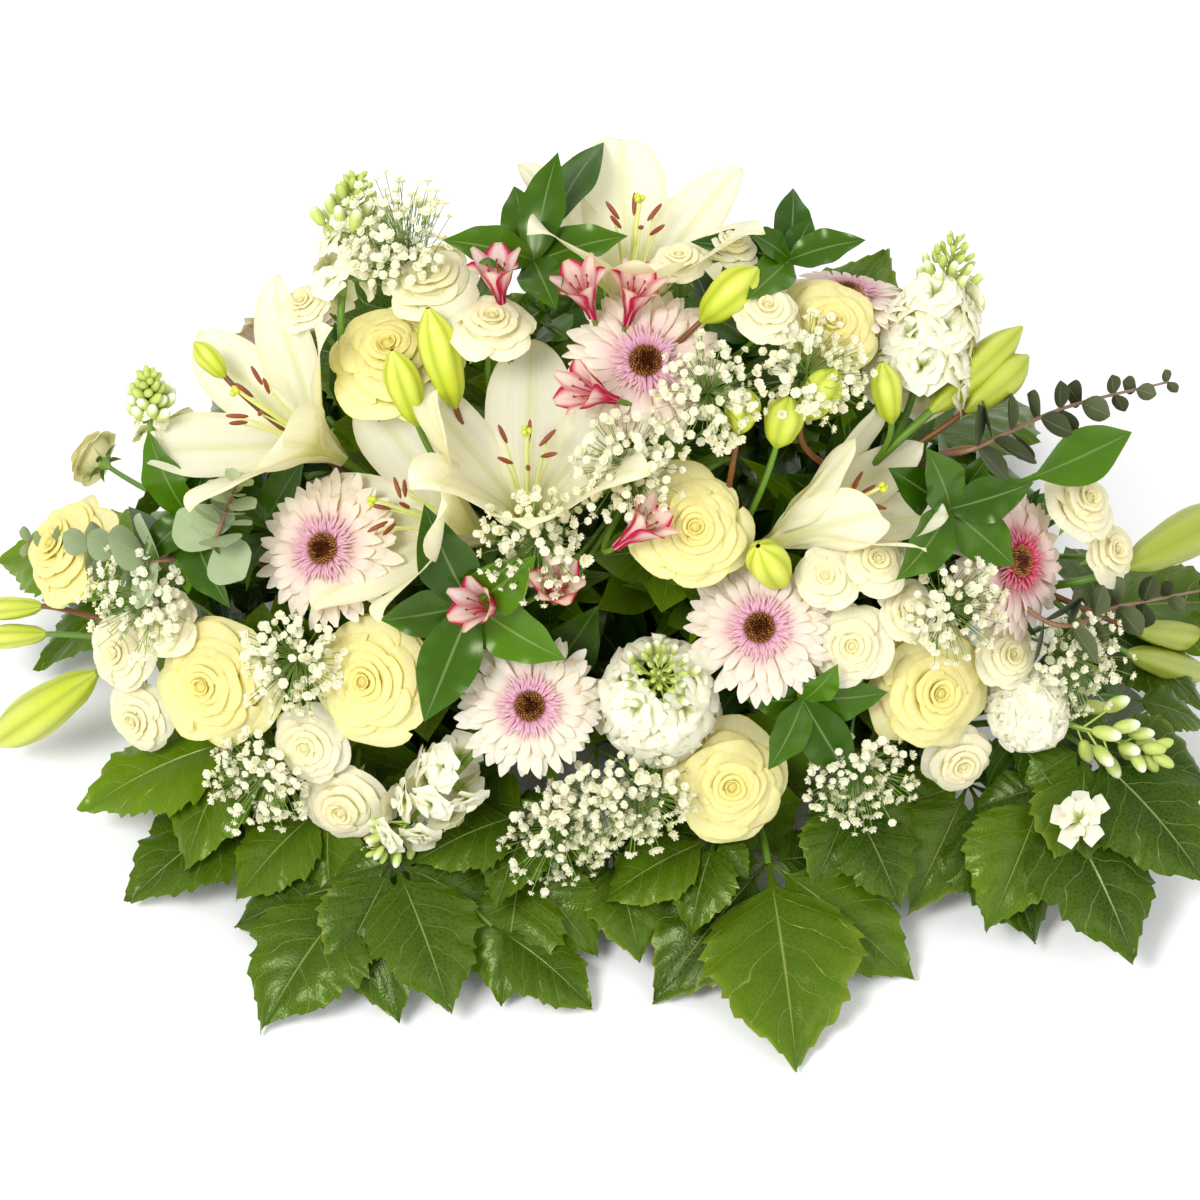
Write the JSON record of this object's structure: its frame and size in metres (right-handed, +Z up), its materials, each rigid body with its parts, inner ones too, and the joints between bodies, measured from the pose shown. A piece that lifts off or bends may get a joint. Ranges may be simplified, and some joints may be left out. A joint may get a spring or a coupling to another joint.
{
  "type": "casket spray",
  "caption": "Domed casket spray of lilies, gerberas, roses and small white flowers, set in foam in a low tray over a skirt of large toothed leaves.",
  "frame": {"origin": "centre of the tray's underside, on the surface that the spray rests on", "axes": "+Z up, +X to the right along the spray's length, -Y towards the front that the flowers face"},
  "size_m": [0.8865, 0.7012, 0.4631],
  "materials": {
    "tray": "satin",
    "foam": "matte",
    "lily": "matte",
    "bud": "matte",
    "gerbera": "matte",
    "rose": "matte",
    "spray_rose": "matte",
    "stock": "matte",
    "alstroemeria": "matte",
    "gypsophila": "matte",
    "eucalyptus": "satin",
    "ruscus": "satin",
    "foliage": "satin"
  },
  "bodies": {
    "root": {"tray": "tray", "foam": "foam", "lily_1": "lily", "lily_2": "lily", "lily_3": "lily", "lily_4": "lily", "lily_5": "lily", "lily_6": "lily", "lily_buds_1": "bud", "lily_buds_2": "bud", "lily_buds_3": "bud", "gerbera_1": "gerbera", "gerbera_2": "gerbera", "gerbera_3": "gerbera", "gerbera_4": "gerbera", "gerbera_5": "gerbera", "gerbera_6": "gerbera", "gerbera_7": "gerbera", "rose_1": "rose", "rose_2": "rose", "rose_3": "rose", "rose_4": "rose", "rose_5": "rose", "rose_6": "rose", "rose_7": "rose", "rose_8": "rose", "rose_9": "rose", "spray_rose_1": "spray_rose", "spray_rose_2": "spray_rose", "spray_rose_3": "spray_rose", "spray_rose_4": "spray_rose", "spray_rose_5": "spray_rose", "spray_rose_6": "spray_rose", "spray_rose_7": "spray_rose", "spray_rose_8": "spray_rose", "stock_1": "stock", "stock_2": "stock", "stock_3": "stock", "stock_4": "stock", "stock_5": "stock", "stock_6": "stock", "alstroemeria_1": "alstroemeria", "alstroemeria_2": "alstroemeria", "gypsophila_1": "gypsophila", "gypsophila_2": "gypsophila", "gypsophila_3": "gypsophila", "gypsophila_4": "gypsophila", "eucalyptus_1": "eucalyptus", "eucalyptus_2": "eucalyptus", "ruscus_1": "ruscus", "ruscus_2": "ruscus", "ruscus_3": "ruscus", "ruscus_4": "ruscus", "ruscus_5": "ruscus", "ruscus_6": "ruscus", "leaf_branch_1": "foliage", "leaf_branch_2": "foliage", "leaf_branch_3": "foliage", "leaf_branch_4": "foliage", "leaf_branch_5": "foliage"}
  },
  "joints": []
}
